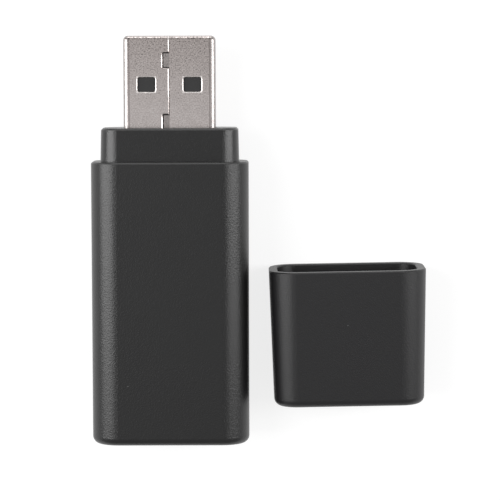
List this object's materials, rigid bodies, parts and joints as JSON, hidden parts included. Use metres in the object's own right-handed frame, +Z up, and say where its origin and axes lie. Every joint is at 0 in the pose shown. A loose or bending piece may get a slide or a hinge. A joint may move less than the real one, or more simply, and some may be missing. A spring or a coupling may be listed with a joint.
{
  "type": "usb wireless adapter",
  "caption": "Black plastic adapter lying on its back, with a stepped neck and a flat metal plug, and its tapered pull-off cap lying beside it.",
  "frame": {"origin": "centre of the rear face of the housing, on the surface that the adapter lies on", "axes": "+Y from the tail to the plug's tip, +X to the right with the plug away from the viewer, +Z up through the front face, where the plug's seam is"},
  "size_m": [0.0438, 0.0534, 0.011],
  "materials": {
    "cover_plastic": "satin moulded black",
    "cap_plastic": "satin moulded black",
    "plug_steel": "nickel plated, fine grain",
    "insulator_plastic": "matt black",
    "contact_gold": "thin gold plating",
    "board_laminate": "solder mask over glass laminate",
    "package_epoxy": "moulded epoxy",
    "crystal_can": "nickel plated can",
    "chip_ceramic": "fired ceramic with tinned ends"
  },
  "bodies": {
    "root": {"front_cover": "cover_plastic", "rear_cover": "cover_plastic", "cap": "cap_plastic", "usb_shell": "plug_steel", "usb_insulator": "insulator_plastic", "power_contact": "contact_gold", "data_minus_contact": "contact_gold", "data_plus_contact": "contact_gold", "ground_contact": "contact_gold", "circuit_board": "board_laminate", "antenna_trace": "contact_gold", "radio_chip": "package_epoxy", "crystal": "crystal_can", "memory_chip": "package_epoxy", "voltage_regulator": "package_epoxy", "protection_diode": "package_epoxy", "bulk_capacitor": "chip_ceramic", "ferrite_bead": "chip_ceramic", "ceramic_capacitors": "chip_ceramic", "resistors": "package_epoxy"}
  },
  "joints": []
}
